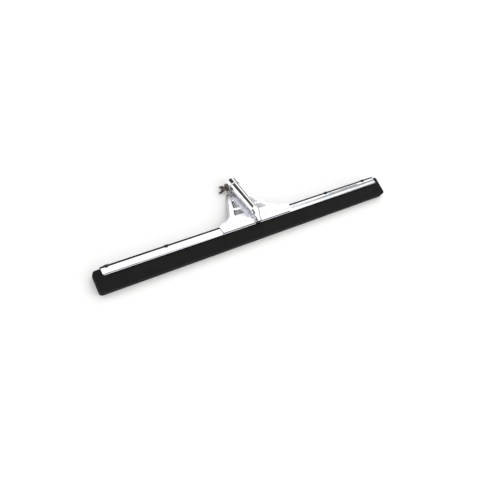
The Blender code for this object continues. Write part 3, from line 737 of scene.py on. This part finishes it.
def saddle_block():
    """Rings about the screw: up the hole, out over the top, down the superellipse side, and back under
    the saddle, where the height is that of the collar's circle."""
    radius, _ = socket_section(np.array(SCREW_PLACE))
    seat = radius + COLLAR_CLEARANCE + COLLAR_SHEET + GAP
    angle = np.linspace(0, 2 * np.pi, 72, endpoint=False)
    cosine, sine = np.cos(angle), np.sin(angle)
    halves = np.array([BOSS_LENGTH / 2, BOSS_WIDTH / 2])
    along, across = np.abs(cosine / halves[0]), np.abs(sine / halves[1])
    reach = (along ** BOSS_SQUARE + across ** BOSS_SQUARE) ** (-1 / BOSS_SQUARE)
    shares = np.array([0, 0, 0, 0.07, 0.2, 0.75, 0.88, 0.95, 0.985, 1, 1, 1, 1, 0.97, 0.5])
    drops = np.array([1, 0.5, 0.06, 0, 0, 0, 0.0, 0.02, 0.06, 0.14, 0.2, 0.6, 0.97, 1, 1])
    distance = BOSS_HOLE + (reach - BOSS_HOLE) * shares[:, None]
    along, across = distance * cosine, distance * sine
    saddle = np.sqrt(np.maximum(seat ** 2 - across ** 2, 0))
    height = BOSS_TOP + (saddle - BOSS_TOP) * drops[:, None]
    return on_screw(np.stack([along, across, height], -1))


casting = cast_zinc()
points = saddle_block()
piece("boss_block", points, skin(points.shape, along=True), [casting], "head", "dull_zinc_casting",
      "screw_boss")


# ---- Wing screw ----
# A cast zinc thumb screw with two ears on a flanged hub. Its thread runs in the boss, and a short neck
# at its inner end turns in the loose pressure pad.

PITCH = 0.001
THREAD_DEPTH = 0.00055
SCREW_RADIUS = 0.003
NECK = (0.0020, 0.0092, 0.0107)  # radius, inner end and start of the thread
NECK_BEVEL = 0.0003
NECK_TIP = 0.0004
HUB = (  # radius and height of the hub, from its flange out
    (0.0030, 0.0249), (0.0056, 0.0250), (0.0058, 0.0253), (0.0058, 0.0277), (0.0055, 0.0281),
    (0.0049, 0.0290), (0.0046, 0.0318), (0.0042, 0.0326), (0.0035, 0.0330), (0.0003, 0.0331),
)
EAR = (  # corners of one ear, across and out
    (0.0022, 0.0262), (0.0080, 0.0262), (0.0111, 0.0318), (0.0111, 0.0384), (0.0074, 0.0384),
    (0.0056, 0.0330), (0.0022, 0.0320),
)
EAR_MIDDLE = (0.0066, 0.0310)
EAR_ROUND = 0.0011
EAR_THICKNESS = 0.0038


def turned(profile, frame_points, columns=48):
    """A profile of radius and height turned round its axis."""
    angle = np.linspace(0, 2 * np.pi, columns, endpoint=False)
    radius, height = np.asarray(profile, float).T
    ring = radius[:, None] * np.stack([np.cos(angle), np.sin(angle)])[:, None, :]
    return frame_points(np.stack([ring[0], ring[1], height[:, None] + 0 * ring[0]], -1))


def threaded_shank(columns=40):
    """The shank's radius dips by a triangle wave that climbs one pitch for each turn."""
    height = np.arange(NECK[2], HUB[0][1], PITCH / 8)
    angle = np.linspace(0, 2 * np.pi, columns, endpoint=False)
    wave = np.abs(2 * np.mod(height[:, None] / PITCH - angle / (2 * np.pi), 1) - 1)
    run_in = np.clip((height - NECK[2]) / PITCH, 0, 1)[:, None]
    radius = SCREW_RADIUS - THREAD_DEPTH * np.maximum(wave, 1 - run_in)
    return np.stack([radius * np.cos(angle), radius * np.sin(angle), height[:, None] + 0 * radius], -1)


def ear(side):
    """A pillow on the ear's outline: from its middle on one face, out over the rounded rim and back to
    the middle of the other, the reach and the thickness following a superellipse."""
    rim = eased(EAR, EAR_ROUND, support=0.0002)
    around = np.linspace(-1, 1, 17) * math.radians(87)
    reach = np.cos(around) ** 0.34
    depth = EAR_THICKNESS / 2 * np.sign(around) * np.abs(np.sin(around)) ** 0.7
    shape = np.array(EAR_MIDDLE) + (rim - EAR_MIDDLE) * reach[:, None, None]
    return np.stack([depth[:, None] + 0 * shape[..., 0], side * shape[..., 0], shape[..., 1]], -1)


def joined(*grids):
    """Several closed grids as one set of points and faces."""
    count, points, faces = 0, [], []
    for grid in grids:
        flat = grid.reshape(-1, 3)
        points.append(flat)
        faces.append(outwards(flat, skin(grid.shape)) + count)
        count += len(flat)
    return np.concatenate(points), np.concatenate(faces)


shank = threaded_shank()
neck, end, start = NECK
foot = [(NECK_TIP, end), (neck - NECK_BEVEL, end), (neck, end + NECK_BEVEL), (neck, start)]
foot = turned(foot, np.array, 40)
hub = turned(HUB, np.array, 40)
points, faces = joined(np.concatenate([foot, shank, hub]), ear(1), ear(-1))
piece("wing_screw_casting", on_screw(points), faces, [casting], "screw", "dull_zinc_casting", "wing_screw")


# ---- Pressure pad ----
# A turned steel button, loose on the screw's neck. It presses on the handle without turning, so that
# the screw does not chew the wood.

PAD = (  # radius and height, from the pressing face to the floor of the cup
    (0.0003, 0.0081), (0.0030, 0.0080), (0.0040, 0.0080), (0.0044, 0.0082), (0.0045, 0.0086),
    (0.0045, 0.0101), (0.0043, 0.0104), (0.0026, 0.0104), (0.0023, 0.0102), (0.0023, 0.0090),
    (0.0003, 0.0089),
)
STEEL = "#a9aaab"
STEEL_DULL = "#7f8182"


def turned_steel():
    """Plain turned steel: grey, with a soft sheen broken up by the tool's marks and a little rust-grey."""
    made, tree, shader = principled("plain_turned_steel", Metallic=1.0)
    place = add_node(tree, "TexCoord").outputs["Object"]
    patches = fade(tree, noise(tree, place, 0.003), 0.35, 0.7)
    tree.links.new(blend_colours(tree, patches, STEEL, STEEL_DULL), shader.inputs["Base Color"])
    tree.links.new(fade(tree, patches, 0.0, 1.0, 0.28, 0.45), shader.inputs["Roughness"])
    roughen(tree, shader, noise(tree, place, 0.0005), 0.00003, 0.5)
    return made


steel = turned_steel()
points = turned(PAD, on_screw)
piece("pad_button", points, skin(points.shape), [steel], "pad", "plain_steel", "pressure_pad")


# ---- Rivets ----
# Six solid steel rivets, plated with the bracket, run through its foot, both rails and the rubber, and
# one more holds the collar. Their heads are domed by the setting tool, which leaves a faint ring.

RIVET_PLACES = (-0.087, -0.058, -0.027, 0.027, 0.058, 0.087)
RIVET_HEIGHT = 0.0455
RIVET_HEAD = 0.0036
RIVET_RISE = 0.0015
RIVET_SHANK = 0.002
COLLAR_RIVET_HEAD = 0.0032
COLLAR_RIVET_RISE = 0.0014
COLLAR_RIVET_SHANK = 0.0016


def dome(radius, base, rise):
    """A set head from its rim to its middle: an ellipse's quarter with a small flat and a ring."""
    turn = np.linspace(0, np.pi / 2, 12)[:-1]
    ring = 0.06 * rise * np.exp(-((turn - 1.0) / 0.12) ** 2)
    height = base + np.sign(rise) * (abs(rise) * np.sin(turn) - abs(ring))
    points = np.stack([radius * np.cos(turn), height], 1)
    return np.concatenate([points, [(radius * 0.05, base + rise)]])


def through_blade(place):
    """Points of a rivet's frame (up, across, back along its shank) in the frame."""
    move = np.array([place, 0.0, RIVET_HEIGHT])
    return lambda points: in_place(points[..., [0, 2, 1]] + move)


front, back = PLATE_FRONT - GAP, BLADE_BACK + RAIL_FACE + GAP
shank = [(RIVET_SHANK, front), (RIVET_SHANK, back)]
profile = np.concatenate([dome(RIVET_HEAD, front, -RIVET_RISE)[::-1], shank,
                          dome(RIVET_HEAD, back, RIVET_RISE)])
for number, place in enumerate(RIVET_PLACES, 1):
    points = turned(profile, through_blade(place))
    piece(f"foot_rivet_{number}", points, skin(points.shape), [pressed], "head", "pressed_zinc_sheet",
          f"bracket_rivet_{number}")

radius = float(socket_section(np.array(SCREW_PLACE))[0])
seat = radius + COLLAR_CLEARANCE + COLLAR_SHEET + GAP
inner = math.sqrt((radius - SOCKET_SHEET) ** 2 - COLLAR_RIVET_HEAD ** 2) - GAP
centre = in_place(plate_point(0.0, np.array([SCREW_PLACE]), GAP + radius))[0]
profile = [(0.0003, inner - 0.0008), (COLLAR_RIVET_HEAD, inner - 0.0008), (COLLAR_RIVET_HEAD, inner)]
profile += [(COLLAR_RIVET_SHANK, inner), (COLLAR_RIVET_SHANK, seat)]
profile = np.concatenate([profile, dome(COLLAR_RIVET_HEAD, seat, COLLAR_RIVET_RISE)])
side_axes = np.array([ALONG, np.cross((1.0, 0.0, 0.0), ALONG), (1.0, 0.0, 0.0)])
points = turned(profile, lambda points: points @ side_axes + centre)
piece("collar_band_rivet", points, skin(points.shape), [steel], "head", "plain_steel", "collar_rivet")
